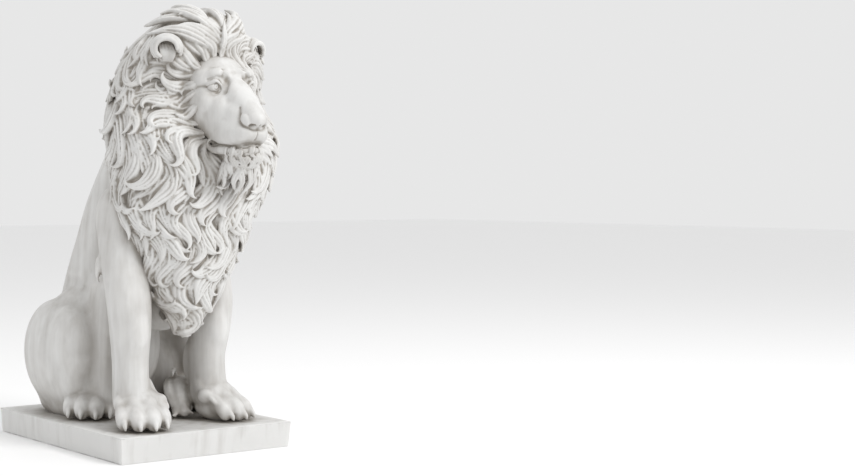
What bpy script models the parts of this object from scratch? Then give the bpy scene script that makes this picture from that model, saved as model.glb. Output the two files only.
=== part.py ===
"""A seated lion with a full mane, a garden statue cast in one with its low base slab.

The part stands on the slab's underside, with its origin at that face's centre, +Z up,
and the lion looks along -Y. The figure is modelled in its own units, each 1/672 of the
figure's height, measured from the slab's top, and is then brought to its real size.
"""

import math
import random

import bmesh
import bpy
import numpy
from mathutils import Euler, Matrix, Vector
from mathutils.bvhtree import BVHTree

# Driving dimensions, in metres
SLAB_WIDTH = 0.320
SLAB_DEPTH = 0.390
SLAB_THICKNESS = 0.0413
SLAB_DRAFT = 0.003
FIGURE_HEIGHT = 0.672

# Figure units: everything below is a share of the figure's height
UNITS_HIGH = 672.0
UNIT = FIGURE_HEIGHT / UNITS_HIGH
HEAD_PLACE = Vector((36, -150, 530))
HEAD_YAW = -3.8
HEAD_PITCH = 0.0
HEAD_NARROW = 0.94
FACE_VOXEL = 1.6
SKIN_VOXEL = 2.0
FIGURE_TRIANGLES = 9400


def clear_scene():
    for found in list(bpy.data.objects):
        bpy.data.objects.remove(found)


def new_object(name, bm):
    mesh = bpy.data.meshes.new(name)
    bm.to_mesh(mesh)
    bm.free()
    made = bpy.data.objects.new(name, mesh)
    bpy.context.scene.collection.objects.link(made)
    return made


def baked(found):
    """Replaces an object's mesh by the one that its modifiers make."""
    bpy.context.view_layer.update()
    graph = bpy.context.evaluated_depsgraph_get()
    mesh = bpy.data.meshes.new_from_object(found.evaluated_get(graph))
    found.modifiers.clear()
    found.data = mesh
    return found


def fused(found, voxel, rounds):
    """Overlapping forms made one skin, with its creases filled by a few rounds of smoothing."""
    remesh = found.modifiers.new("one skin", "REMESH")
    remesh.mode = "VOXEL"
    remesh.voxel_size = voxel
    if rounds:
        smooth = found.modifiers.new("soft creases", "SMOOTH")
        smooth.factor = 0.5
        smooth.iterations = rounds
    return baked(found)


def unit_ball(rings):
    bm = bmesh.new()
    bmesh.ops.create_icosphere(bm, subdivisions=rings, radius=1)
    mesh = bpy.data.meshes.new("ball")
    bm.to_mesh(mesh)
    bm.free()
    return mesh


def ellipsoid(bm, centre, radii, turn=(0, 0, 0), within=Matrix.Identity(4), fine=True):
    angles = Euler([math.radians(a) for a in turn])
    ball = unit_ball.fine.copy() if fine else unit_ball.coarse.copy()
    ball.transform(within @ Matrix.LocRotScale(Vector(centre), angles, Vector(radii)))
    bm.from_mesh(ball)
    bpy.data.meshes.remove(ball)


def between(stations, step):
    """Points on a smooth curve through the stations, tuples of any length, step of a span apart."""
    count = len(stations)
    for i in range(count - 1):
        p0 = stations[max(i - 1, 0)]
        p1 = stations[i]
        p2 = stations[i + 1]
        p3 = stations[min(i + 2, count - 1)]
        t = 0.0
        while t < 1.0 or (i == count - 2 and t < 1.0 + step / 2):
            yield tuple(
                b + 0.5 * t * (c - a + t * (2 * a - 5 * b + 4 * c - d + t * (3 * b - a - 3 * c + d)))
                for a, b, c, d in zip(p0, p1, p2, p3)
            )
            t += step


def limb(bm, stations, step=0.2, within=Matrix.Identity(4)):
    """A limb as a close row of ellipsoids: each station is x, y, z and one radius or three."""
    for point in between(stations, step):
        radii = point[3:] if len(point) == 6 else [point[3]] * 3
        ellipsoid(bm, point[:3], radii, within=within, fine=False)


def head_frame():
    turn = Matrix.Rotation(math.radians(HEAD_YAW), 4, "Z") @ Matrix.Rotation(math.radians(HEAD_PITCH), 4, "X")
    return Matrix.Translation(HEAD_PLACE) @ turn @ Matrix.Diagonal((HEAD_NARROW, 1, 1, 1))


# A paw's toes: how far across, how far ahead and how thick
TOES = [(-29, 4, 12), (-10, -8, 13.6), (11, -9, 13.6), (30, 3, 12)]


def add_trunk(bm):
    limb(bm, [
        (0, 118, 50, 92, 70, 60),
        (0, 96, 130, 100, 88, 80),
        (0, 80, 205, 97, 86, 80),
        (2, 48, 280, 94, 82, 80),
        (6, 26, 340, 92, 80, 70),
        (12, -14, 400, 92, 85, 70),
    ])
    ellipsoid(bm, (-4, -58, 290), (88, 76, 105))
    ellipsoid(bm, (-4, -62, 225), (66, 62, 80))
    ellipsoid(bm, (-30, 22, 120), (68, 72, 100))
    limb(bm, [(-68, 14, 40, 36, 56, 44), (-66, 16, 110, 40, 58, 60), (-54, 6, 190, 42, 60, 70)])
    ellipsoid(bm, (40, 60, 70), (60, 60, 74))


def add_foreleg(bm, side, shift, lean):
    """side is -1 on the lion's right and 1 on its left; lean brings the shoulder outwards."""
    x, y = shift
    limb(bm, [
        (x + side * (lean - 8), y + 46, 330, 36, 50, 60),
        (x + side * (lean - 2), y + 26, 272, 37, 44, 50),
        (x + side * lean, y + 6, 212, 38, 41, 40),
        (x + side * lean * 0.7, y, 160, 35, 38, 40),
        (x, y, 110, 30, 35, 40),
        (x, y - 2, 70, 30, 35, 34),
        (x, y - 6, 40, 32, 37, 30),
    ])
    ellipsoid(bm, (x + side * 2, y - 18, 158), (22, 24, 46))
    ellipsoid(bm, (x - side * 14, y + 28, 92), (14, 14, 40))


def add_paw(bm, frame, ankle, inner=0):
    """A broad paw that looks along -Y of its frame, below an ankle that high; inner is the dewclaw's side."""
    ellipsoid(bm, (0, 20, 18), (32, 38, 21), within=frame)
    ellipsoid(bm, (0, 26, 35), (35, 30, 25), within=frame)
    ellipsoid(bm, (0, 6, 22), (36, 26, 20), within=frame)
    for across, ahead, size in TOES:
        limb(bm, [
            (across * 0.42, 42, ankle, 14),
            (across * 0.70, ahead + 33, ankle * 0.76, 12),
            (across * 0.90, ahead + 17, 38, size * 0.98),
            (across * 0.97, ahead + 5, 30, size * 0.82),
            (across, ahead - 7, 20, size * 0.98),
            (across * 1.03, ahead - 12, 12, size * 0.8),
        ], within=frame)
        limb(bm, [
            (across * 1.04, ahead - 19, 16, 4.8),
            (across * 1.05, ahead - 25, 10, 3.8),
            (across * 1.05, ahead - 26, 5, 2.6),
        ], within=frame)
    if inner:
        ellipsoid(bm, (inner * 34, 24, 38), (9, 13, 11), within=frame)
        limb(bm, [(inner * 38, 13, 36, 4.5), (inner * 39, 7, 32, 3.5), (inner * 38, 4, 27, 2)], within=frame)


def paw_frame(heel, side, splay, size=1.0):
    turn = Matrix.Rotation(math.radians(side * splay), 4, "Z")
    return Matrix.Translation(Vector((*heel, 0))) @ turn @ Matrix.Scale(size, 4)


PAWS = [
    (paw_frame((-94, -150), -1, 18, 1.1), 60, 1),
    (paw_frame((90, -130), 1, 26, 1.08), 60, -1),
    (paw_frame((-98, 2), -1, 38, 1.12), 46, 0),
    (paw_frame((102, -4), 1, 16, 1.08), 46, 0),
]


def add_hind_leg(bm, side):
    ellipsoid(bm, (side * 112, 86, 104), (46, 84, 90))
    ellipsoid(bm, (side * 110, 50, 118), (44, 64, 72))
    ellipsoid(bm, (side * 82, 66, 158), (46, 60, 56))
    limb(bm, [
        (side * 112, 22, 100, 34, 38, 46), (side * 110, 50, 58, 34, 46, 40), (side * 104, 104, 32, 32, 38, 30),
    ])
    limb(bm, [(side * 98, 126, 20, 25, 28, 24), (side * 102, 80, 22, 30), (side * 98, 40, 24, 32)])


def add_tail(bm):
    """Round the left haunch on the slab, then in behind the left foreleg to a tuft between the forelegs."""
    limb(bm, [
        (22, 176, 44, 16), (66, 180, 18, 13), (112, 164, 13, 12), (140, 124, 12, 12), (146, 72, 12, 12),
        (146, 20, 12, 12), (136, -26, 14, 12), (108, -44, 30, 12), (78, -30, 48, 14),
    ])
    limb(bm, [
        (76, -26, 48, 14, 14, 14), (56, -36, 42, 19, 20, 24), (42, -56, 28, 19, 20, 26), (34, -78, 12, 11, 13, 10),
    ])


# The ears' places, on the hair beside the crown, and the way that each looks, from -Y
EARS = [(Vector((-54, -158, 597)), -34, 6), (Vector((104, -160, 598)), 20, 10)]


def add_ear(bm, place, turn, lean):
    """A round cup that looks forwards and outwards, its rim three strands thick and open below, hair inside."""
    frame = Matrix.Translation(place) @ Matrix.Rotation(math.radians(turn), 4, "Z")
    frame = frame @ Matrix.Rotation(math.radians(lean), 4, "Y")
    for strand in range(3):
        rim = []
        for i in range(9):
            angle = math.radians(4 - 10 * strand + 238 * i / 8)
            reach = 15 + 2.8 * strand
            back = -17 + 5.5 * strand - 3 * math.sin(angle)
            thickness = 4.4 - 0.14 * abs(i - 3) ** 1.5
            rim.append((reach * 1.12 * math.cos(angle), back, reach * math.sin(angle), thickness))
        limb(bm, rim, step=0.25, within=frame)
    ellipsoid(bm, (0, 4, -2), (22, 12, 20), within=frame)
    for across in (-12, -6, 0, 6, 12):
        limb(bm, [
            (across * 0.4 + 4, -4, -17, 3.4), (across * 0.8 + 3, -10, -8, 3), (across * 0.9, -10, 1, 2.4),
            (across * 0.8 - 3, -9, 8, 1.2),
        ], within=frame)


def add_head(bm):
    """The head's masses; the eyes, lids and lips come after these are one skin."""
    frame = head_frame()
    ellipsoid(bm, (0, 8, 4), (60, 68, 57), within=frame)
    ellipsoid(bm, (0, -20, 26), (50, 40, 36), within=frame)
    ellipsoid(bm, (0, -48, 22), (40, 20, 22), within=frame)
    limb(bm, [
        (0, -38, 12, 34, 24, 28),
        (0, -66, 3, 30, 23, 25),
        (0, -96, -17, 26, 22, 21),
        (0, -124, -39, 21, 22, 17),
    ], within=frame)
    limb(bm, [
        (0, -36, -40, 56, 34, 44),
        (0, -62, -48, 50, 34, 40),
        (0, -90, -56, 40, 34, 30),
        (0, -112, -63, 31, 29, 20),
    ], within=frame)
    ellipsoid(bm, (0, -70, -88), (32, 52, 21), within=frame)
    ellipsoid(bm, (0, -97, -100), (30, 30, 20), within=frame)
    for side in (-1, 1):
        ellipsoid(bm, (side * 28, -61, 27), (21, 14, 11), turn=(0, side * 12, side * 24), within=frame)
        ellipsoid(bm, (side * 36, -24, -24), (28, 44, 46), within=frame)
        ellipsoid(bm, (side * 36, -46, -18), (22, 28, 24), turn=(0, side * 20, side * 30), within=frame)
        ellipsoid(bm, (side * 40, -34, 14), (20, 28, 26), within=frame)
        ellipsoid(bm, (side * 17, -84, -38), (20, 34, 24), within=frame)
        ellipsoid(bm, (side * 28, -66, -34), (21, 30, 30), within=frame)
        limb(bm, [
            (side * 31, -62, -66, 13, 16, 17),
            (side * 28, -88, -68, 14, 18, 19),
            (side * 20, -112, -66, 14, 18, 18),
            (side * 10, -126, -64, 14, 13, 15),
        ], within=frame)


def add_face(bm):
    frame = head_frame()
    ellipsoid(bm, (0, -133, -44), (18, 18, 13), turn=(16, 0, 0), within=frame)
    limb(bm, [
        (-41, -59, -76, 3), (-40, -52, -83, 4.2), (-35, -62, -90, 6), (-31, -84, -91, 7.5), (-18, -112, -94, 8),
        (0, -121, -91, 8),
        (18, -112, -94, 8), (31, -84, -91, 7.5), (35, -62, -90, 6), (40, -52, -83, 4.2), (41, -59, -76, 3),
    ], step=0.2, within=frame)
    for side in (-1, 1):
        ellipsoid(bm, (side * 12.5, -120, -46), (11.5, 20, 14), turn=(16, 0, side * 10), within=frame)
        ellipsoid(bm, (side * 34.5, -58.5, 7), (12, 12, 11.5), within=frame)
        limb(bm, [
            (side * 23, -71, -2, 1.8), (side * 27, -72, 9, 2.2), (side * 35, -70.5, 16, 2.8),
            (side * 43, -63.5, 13, 2.6), (side * 49, -55, 7, 2),
        ], step=0.1, within=frame)
        limb(bm, [
            (side * 23, -71, -2, 1.8), (side * 30, -70.5, -4.5, 2), (side * 37, -67.5, -5, 2.2),
            (side * 43, -61.5, -1, 2), (side * 49, -55, 7, 2),
        ], step=0.1, within=frame)


def ring(middle, radius):
    x, y, z = middle
    return [(x + radius * math.cos(a * math.pi / 4), y, z + radius * math.sin(a * math.pi / 4)) for a in range(9)]


# Grooves of the face in the head's frame: half-width, depth and stations, made on both sides and laid
# on the nearest skin; the soft ones come first
SOFT_GROOVES = [
    (6.2, 5.6, [(19, -76, 20), (19, -78, 9), (20, -79, -2)]),
    (4.0, 3.6, [(20, -66, 36), (22, -69, 29), (24, -72, 22)]),
    (3.4, 10.0, [(38, -63, -81), (37, -71, -83)]),
    (3.0, 3.0, [(48, -57, 8), (53, -51, 8), (60, -42, 6)]),
    (2.4, 1.8, [(29, -74, 20), (36, -71, 23), (46, -61, 19)]),
    (2.6, 2.8, [
        (20, -117, -27), (21, -119, -36), (21, -120, -46), (19, -125, -54), (14, -132, -59), (7, -137, -62),
        (0, -139, -61),
    ]),
]
FACE_GROOVES = [
    (1.7, 3.0, [
        (39, -60, -80), (37, -72, -82), (34, -90, -84), (28, -106, -86.5), (17, -121, -87), (8, -127, -85),
        (0, -129, -83),
    ]),
    (1.6, 1.8, [(0, -148, -58), (0, -142, -68), (0, -132, -82)]),
    (2.4, 5.0, [(13, -137, -56), (8, -140, -54)]),
    (1.0, 1.0, [(26, -71, 2), (29, -72, 8), (35, -71, 12.2), (41, -66, 10), (46, -58, 7)]),
    (1.0, 0.8, [(26, -71, 0), (31, -71, -1), (37, -69, -1), (42, -63, 2), (46, -58, 7)]),
    (0.9, 1.0, ring((34.5, -70.5, 7), 4.8)),
    (1.3, 1.1, [(34.2, -70.5, 7.2), (35, -70.5, 6.8)]),
]


def relaxed(found, rounds):
    smooth = found.modifiers.new("relaxed", "SMOOTH")
    smooth.factor = 0.5
    smooth.iterations = rounds
    return baked(found)


def carve(found, grooves):
    """Pushes a skin in along curves: each groove has a soft section, deepest on its curve."""
    count = len(found.data.vertices)
    places = numpy.empty(count * 3)
    found.data.vertices.foreach_get("co", places)
    places = places.reshape(-1, 3)
    whole = bmesh.new()
    whole.from_mesh(found.data)
    skin = BVHTree.FromBMesh(whole)
    whole.free()
    for width, depth, stations in grooves:
        spots = [skin.find_nearest(Vector(p)) for p in between(stations, 0.12)]
        curve = numpy.array([spot[0] for spot in spots])
        outward = numpy.array([spot[1] for spot in spots])
        for _ in range(6):
            outward[1:-1] = (outward[:-2] + outward[1:-1] * 2 + outward[2:]) / 4
        outward /= numpy.linalg.norm(outward, axis=1)[:, None]
        reach = width * 2.5
        inside = (places > curve.min(0) - reach).all(1) & (places < curve.max(0) + reach).all(1)
        near = numpy.nonzero(inside)[0]
        gaps = numpy.linalg.norm(places[near][:, None, :] - curve[None], axis=2)
        places[near] -= outward[gaps.argmin(1)] * (depth * numpy.exp(-(gaps.min(1) / width) ** 2))[:, None]
    found.data.vertices.foreach_set("co", places.ravel())
    found.data.update()


def face_grooves(grooves):
    frame = head_frame()
    for width, depth, stations in grooves:
        middle = all(p[0] == 0 for p in stations)
        for side in ((1,) if middle else (-1, 1)):
            yield width, depth, [tuple(frame @ Vector((side * x, y, z))) for x, y, z in stations]


def carved_head(masses, voxel, rounds):
    """The head's masses with its eyes, lids and lips on, as one skin with every groove cut."""
    bm = bmesh.new()
    add_face(bm)
    bm.from_mesh(masses.data)
    bpy.data.objects.remove(masses)
    head = fused(new_object("lion_head", bm), voxel, 1)
    carve(head, face_grooves(SOFT_GROOVES))
    relaxed(head, rounds)
    carve(head, face_grooves(FACE_GROOVES))
    return relaxed(head, 1)


MANE = [
    (33, -122, 625, 76, 74, 42),
    (37, -98, 578, 117, 88, 48),
    (32, -80, 530, 130, 90, 48),
    (31, -88, 490, 140, 98, 48),
    (30, -106, 452, 150, 106, 48),
    (28, -110, 412, 141, 103, 48),
    (22, -110, 374, 126, 98, 48),
    (13, -106, 338, 118, 96, 46),
    (10, -110, 304, 102, 86, 44),
    (6, -118, 268, 82, 72, 42),
    (2, -124, 234, 60, 56, 38),
    (-2, -130, 205, 38, 40, 34),
    (-6, -136, 178, 18, 22, 28),
]
FACE_CENTRE = Vector((0, -20, -5))
HAIRLINE = (60, 66)
BIB_TIP = Vector((-8, -150, 130))
WAVE_LENGTH = 108.0
CREST = 0.4
LOCK_DEPTH = 0.6
MANE_SUNK = 7.0

# Layers of locks, each over the last: how far apart, then the least and the most of length, width,
# lift and curl
LAYERS = [
    (21, (60, 90), (17, 23), (-7, -4), (30, 100)),
    (27, (110, 160), (26, 35), (-5, 0), (10, 70)),
    (26, (68, 108), (19, 27), (3, 10), (60, 160)),
]
FRINGE = (12, (50, 78), (12, 17), (-1, 5), (40, 150))
CURL_GAP = 8.2
CURL_LENGTH = (13, 19)
CURL_THICKNESS = 3.4

# The tufts at the tail's end, at the elbows and below the chin: the way each lies open to, then its locks'
# widths and curves
TUFTS = [
    ((-0.7, -0.6, 0.4), [
        (20, [(72, -24, 52), (50, -34, 60), (36, -52, 46), (30, -78, 22), (44, -96, 7)]),
        (18, [(62, -22, 48), (40, -26, 58), (24, -44, 44), (22, -68, 20), (26, -86, 6)]),
        (15, [(60, -30, 40), (40, -40, 34), (28, -58, 22), (16, -78, 8), (6, -82, 8)]),
        (12, [(56, -26, 54), (44, -34, 72), (34, -46, 76), (26, -56, 66)]),
    ]),
    ((-0.9, -0.2, 0.1), [
        (13, [(-112, -62, 282), (-120, -60, 264), (-118, -54, 246), (-110, -50, 236)]),
        (11, [(-116, -68, 270), (-123, -64, 254), (-121, -58, 238), (-112, -52, 226)]),
    ]),
    ((0.9, -0.2, 0.1), [
        (13, [(112, -40, 282), (120, -38, 264), (118, -32, 246), (110, -28, 236)]),
        (11, [(116, -46, 270), (123, -42, 254), (121, -36, 238), (112, -30, 226)]),
    ]),
    ((-0.2, -1, 0), [
        (15, [(28, -248, 434), (24, -264, 414), (31, -258, 394), (24, -234, 368)]),
        (14, [(40, -246, 434), (46, -258, 414), (39, -254, 394), (46, -230, 366)]),
        (14, [(14, -238, 434), (7, -250, 414), (14, -246, 396), (4, -226, 370)]),
    ]),
]


def mane_mass():
    bm = bmesh.new()
    limb(bm, MANE, step=0.34)
    return fused(new_object("mane mass", bm), 8.0, 12)


def sunk(found, depth):
    """The hair's mass drawn in a little, so that the gaps between the locks are deep."""
    places = [v.co - v.normal * depth for v in found.data.vertices]
    for v, place in zip(found.data.vertices, places):
        v.co = place
    return found


def flow(point, face):
    """The way the hair runs: away from the face, straight back on the crown, then down to the bib's tip."""
    local = face.inverted() @ point
    away = Vector((local.x, 45, local.z + 12)).normalized()
    near = math.exp(-max(face_ring(local) - 1, 0) / 1.1)
    way = face.to_3x3() @ away * near + Vector((0, 0, -1)) * (1 - near)
    swept = crown_share(local) * min(max((110 - local.y) / 50, 0), 1)
    way = way * (1 - swept) + Vector((local.x * 0.006, 1, 0.3)) * swept
    low = min(max((400 - point.z) / 200.0, 0), 1)
    way += (BIB_TIP - point).normalized() * low * 0.9
    return way.normalized()


def face_ring(local):
    """How far out from the face's middle a point lies: 1 on the hairline."""
    return math.hypot(local.x / HAIRLINE[0], local.z / HAIRLINE[1])


def spread(surface, centres, count):
    """Points all over the mane, in no order."""
    found = []
    golden = math.pi * (3 - math.sqrt(5))
    for centre in centres:
        for i in range(count):
            z = 1 - 2 * (i + 0.5) / count
            r = math.sqrt(1 - z * z)
            ray = Vector((r * math.cos(golden * i), r * math.sin(golden * i), z))
            hit, _, _, _ = surface.ray_cast(centre + ray * 400, -ray)
            if hit:
                found.append(hit)
    return found


def chin_curls():
    """Small curls all over the chin, right up to the lower lip, as stations for limbs."""
    rng = random.Random(11)
    whole = bmesh.new()
    add_head(whole)
    add_face(whole)
    surface = BVHTree.FromBMesh(whole)
    whole.free()
    middle = head_frame() @ Vector((0, -84, -100))
    found = []
    for low in (-14, -6, 2, 10, 18, 27, 36, 46, 58):
        reach = 84 if low < 0 else 112
        for i in range(40):
            angle = math.radians(-reach + 2 * reach * i / 39)
            tip = math.radians(low)
            ray = Vector((math.sin(angle) * math.cos(tip), -math.cos(angle) * math.cos(tip), -math.sin(tip)))
            hit, _, _, _ = surface.ray_cast(middle + ray * 90, -ray)
            if hit:
                found.append(hit)
    curls = []
    for spot in thinned(found, CURL_GAP, rng, lambda point: True):
        curls.append(curl_path(surface, spot, rng))
    return curls


def curl_path(surface, spot, rng):
    """A short curl that runs down the skin and hooks over to one side."""
    hook = math.radians(rng.uniform(120, 230)) * rng.choice((-1, 1))
    sway = rng.uniform(-0.5, 0.5)
    step = rng.uniform(*CURL_LENGTH) / 10
    stations = []
    for i in range(11):
        t = i / 10
        near, normal, _, _ = surface.find_nearest(spot)
        down = Vector((0, 0.2, -1))
        way = (down - normal * down.dot(normal)).normalized()
        way = Matrix.Rotation(sway + hook * max(t - 0.35, 0) / 0.65, 3, normal) @ way
        stations.append((*(near + normal * 1.2 * t), CURL_THICKNESS * (1 - 0.6 * t)))
        spot = near + way * step
    return stations


def thinned(points, gap, rng, wanted):
    """Those of the points that are wanted and lie no closer to each other than the gap."""
    points = list(points)
    rng.shuffle(points)
    kept = []
    for point in points:
        if wanted(point) and all((point - other).length > gap for other in kept):
            kept.append(point)
    return kept


def crown_share(local):
    """1 on the top of the head, where the hair is swept straight back, and 0 on the sides."""
    high = min(max((local.z - 30) / 40, 0), 1)
    return high * min(max((95 - abs(local.x)) / 40, 0), 1)


def lock_path(surface, start, face, length, lift, curl, rng, steps=24):
    swing = math.radians(rng.uniform(38, 54))
    stray = rng.uniform(-0.6, 0.6)
    curl = math.radians(curl) * rng.choice((-1, 1))
    swept = crown_share(face.inverted() @ start)
    swing *= 1 - 0.7 * swept
    curl *= 1 - 0.5 * swept
    point = start.copy()
    _, normal, _, _ = surface.find_nearest(point)
    stations = []
    for i in range(steps + 1):
        t = i / steps
        local = face.inverted() @ point
        round_face = math.atan2(local.x, local.z)
        way = flow(point, face)
        way = (way - normal * way.dot(normal)).normalized()
        wave = 2 * math.pi * local.length / WAVE_LENGTH + 1.6 * math.sin(1.5 * round_face + 0.6) + stray
        mirror = 1 if local.x < 0 else -1
        turn = mirror * swing * math.sin(wave) + curl * max((t - 0.55) / 0.45, 0) ** 2
        way = Matrix.Rotation(turn, 3, normal) @ way
        rise = -8 + (lift + 13) * t ** 0.65 + 2 * t ** 4
        stations.append((point + normal * rise, way, normal.copy(), t))
        point = point + way * (length / steps)
        near, found, _, _ = surface.find_nearest(point)
        point = near
        normal = (normal + found).normalized()
    return stations


def lock_taper(t):
    if t < 0.45:
        return 0.22 + 0.78 * math.sin(t / 0.45 * math.pi / 2)
    return max(1 - ((t - 0.45) / 0.55) ** 1.8, 0.05)


def lock(stations, width, thickness, sides):
    """A tapered lock of hair, extruded along its stations, with its crest towards one edge."""
    bm = bmesh.new()
    bmesh.ops.create_circle(bm, cap_ends=True, segments=sides, radius=1)
    for v in bm.verts:
        v.co.y *= 1 + CREST * v.co.x
    last = Matrix.Identity(4)
    ring = list(bm.verts)
    face = bm.faces[:]
    for spot, way, normal, t in stations:
        taper = lock_taper(t)
        side = normal.cross(way).normalized()
        up = way.cross(side)
        place = Matrix((
            (*(side * width / 2 * taper), 0),
            (*(up * thickness / 2 * (0.3 + 0.7 * taper)), 0),
            (*way, 0),
            (0, 0, 0, 1),
        )).transposed()
        place.translation = spot
        if t > 0:
            made = bmesh.ops.extrude_face_region(bm, geom=face)
            face = [g for g in made["geom"] if isinstance(g, bmesh.types.BMFace)]
            ring = [g for g in made["geom"] if isinstance(g, bmesh.types.BMVert)]
        bmesh.ops.transform(bm, matrix=place @ last.inverted(), verts=ring)
        last = place
    return bm


def mane_locks(mass):
    """Every lock of the mane as its stations and width, laid over the mass and the head."""
    rng = random.Random(7)
    face = head_frame() @ Matrix.Translation(FACE_CENTRE)
    whole = bmesh.new()
    whole.from_mesh(mass.data)
    add_head(whole)
    under = fused(new_object("under the hair", whole), 6.0, 6)
    whole = bmesh.new()
    whole.from_mesh(under.data)
    surface = BVHTree.FromBMesh(whole)
    whole.free()
    bpy.data.objects.remove(under)

    def in_mane(point):
        local = face.inverted() @ point
        if local.y < 60 and face_ring(local) < (0.82 if local.z > 40 else 0.9):
            return False
        if local.y < -34 and -64 < local.z < 50 and abs(local.x) < 56:
            return False
        if local.y < -34 and -84 < local.z < -57 and abs(local.x) < 43:
            return False
        if local.y < -62 and -104 < local.z < -57 and abs(local.x) < 40:
            return False
        if any((point - place).length < 24 for place, _, _ in EARS):
            return False
        return point.z > 165 and (point.y < -30 or point.z > 350)

    def in_fringe(point):
        return in_mane(point) and face_ring(face.inverted() @ point) < 1.5

    everywhere = spread(surface, (Vector((34, -84, 560)), Vector((22, -104, 420)), Vector((5, -112, 290))), 900)
    rounds = [(everywhere, in_mane, layer) for layer in LAYERS]
    rounds.append((spread(surface, (face.translation,), 5000), in_fringe, FRINGE))
    locks = []
    for points, wanted, (gap, lengths, widths, lifts, curls) in rounds:
        for start in thinned(points, gap, rng, wanted):
            swept = crown_share(face.inverted() @ start)
            length = rng.uniform(*lengths) * (1 + 0.25 * swept)
            path = lock_path(surface, start, face, length, rng.uniform(*lifts), rng.uniform(*curls), rng)
            locks.append((path, rng.uniform(*widths)))
    return locks


def tuft_locks():
    """The locks of the small tufts, as stations and width."""
    locks = []
    for facing, tufts in TUFTS:
        for width, curve in tufts:
            spots = [Vector(p) for p in between(curve, 0.25)]
            stations = []
            for i, spot in enumerate(spots):
                way = (spots[min(i + 1, len(spots) - 1)] - spots[max(i - 1, 0)]).normalized()
                normal = (Vector(facing) - way * way.dot(Vector(facing))).normalized()
                stations.append((spot, way, normal, i / (len(spots) - 1)))
            locks.append((stations, width))
    return locks


def add_locks(bm, locks, sides=14):
    for stations, width in locks:
        small = lock(stations, width, width * LOCK_DEPTH, sides)
        mesh = bpy.data.meshes.new("lock")
        small.to_mesh(mesh)
        small.free()
        bm.from_mesh(mesh)
        bpy.data.meshes.remove(mesh)


def figure():
    unit_ball.fine = unit_ball(4)
    unit_ball.coarse = unit_ball(2)
    mass = mane_mass()
    bm = bmesh.new()
    add_trunk(bm)
    add_foreleg(bm, -1, (-90, -108), 0)
    add_foreleg(bm, 1, (73, -88), 10)
    add_hind_leg(bm, -1)
    add_hind_leg(bm, 1)
    body = fused(new_object("body", bm), 5.0, 10)
    bm = bmesh.new()
    add_head(bm)
    head = fused(new_object("head", bm), 3.0, 16)
    head = carved_head(head, FACE_VOXEL, 2)
    bm = bmesh.new()
    for frame, ankle, inner in PAWS:
        add_paw(bm, frame, ankle, inner)
    add_tail(bm)
    add_locks(bm, tuft_locks())
    for place, turn, lean in EARS:
        add_ear(bm, place, turn, lean)
    bm.from_mesh(body.data)
    bpy.data.objects.remove(body)
    body = fused(new_object("body", bm), 3.5, 4)
    locks = mane_locks(mass)
    bm = bmesh.new()
    bm.from_mesh(sunk(mass, MANE_SUNK).data)
    add_locks(bm, locks)
    for curl in chin_curls():
        limb(bm, curl, step=0.5)
    bm.from_mesh(body.data)
    bm.from_mesh(head.data)
    bpy.data.objects.remove(body)
    bpy.data.objects.remove(head)
    bpy.data.objects.remove(mass)
    made = new_object("lion_statue", bm)
    return fused(made, SKIN_VOXEL, 1)


def slab():
    """The low base, a little wider at its top than at its foot."""
    bm = bmesh.new()
    made = bmesh.ops.create_cube(bm, size=1)
    for v in made["verts"]:
        grow = SLAB_DRAFT if v.co.z > 0 else 0
        v.co.x *= SLAB_WIDTH + 2 * grow
        v.co.y *= SLAB_DEPTH + 2 * grow
        v.co.z = (v.co.z + 0.5) * SLAB_THICKNESS
    return new_object("slab", bm)


def lightened(found, triangles):
    """The same skin in large facets, closest together where it bends most."""
    thin = found.modifiers.new("facets", "DECIMATE")
    thin.ratio = triangles / sum(len(p.vertices) - 2 for p in found.data.polygons)
    thin.use_collapse_triangulate = True
    return baked(found)


def joined(first, second):
    union = first.modifiers.new("one solid", "BOOLEAN")
    union.operation = "UNION"
    union.solver = "EXACT"
    union.object = second
    baked(first)
    bpy.data.objects.remove(second)
    return first


def stone(found):
    finish = bpy.data.materials.new("cast_stone")
    finish.use_nodes = True
    shader = finish.node_tree.nodes["Principled BSDF"]
    shader.inputs["Base Color"].default_value = (0.78, 0.77, 0.74, 1)
    shader.inputs["Roughness"].default_value = 0.75
    found.data.materials.clear()
    found.data.materials.append(finish)


def main():
    clear_scene()
    lion = figure()
    lion.data.transform(Matrix.Translation((0, 0, SLAB_THICKNESS)) @ Matrix.Scale(UNIT, 4))
    lightened(lion, FIGURE_TRIANGLES)
    joined(lion, slab())
    bm = bmesh.new()
    bm.from_mesh(lion.data)
    bmesh.ops.triangulate(bm, faces=bm.faces[:])
    bm.to_mesh(lion.data)
    bm.free()
    stone(lion)


main()
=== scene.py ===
"""A seated lion with a full mane, a cast garden statue on its own low base: its finished surface.

The carved forms are modelled in the figure's own units, each 1/672 of its height and
measured from the slab's top, and are then brought to their real size and place.
"""

import math
import random

import bmesh
import bpy
import numpy
from mathutils import Euler, Matrix, Vector, noise
from mathutils.bvhtree import BVHTree


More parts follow.
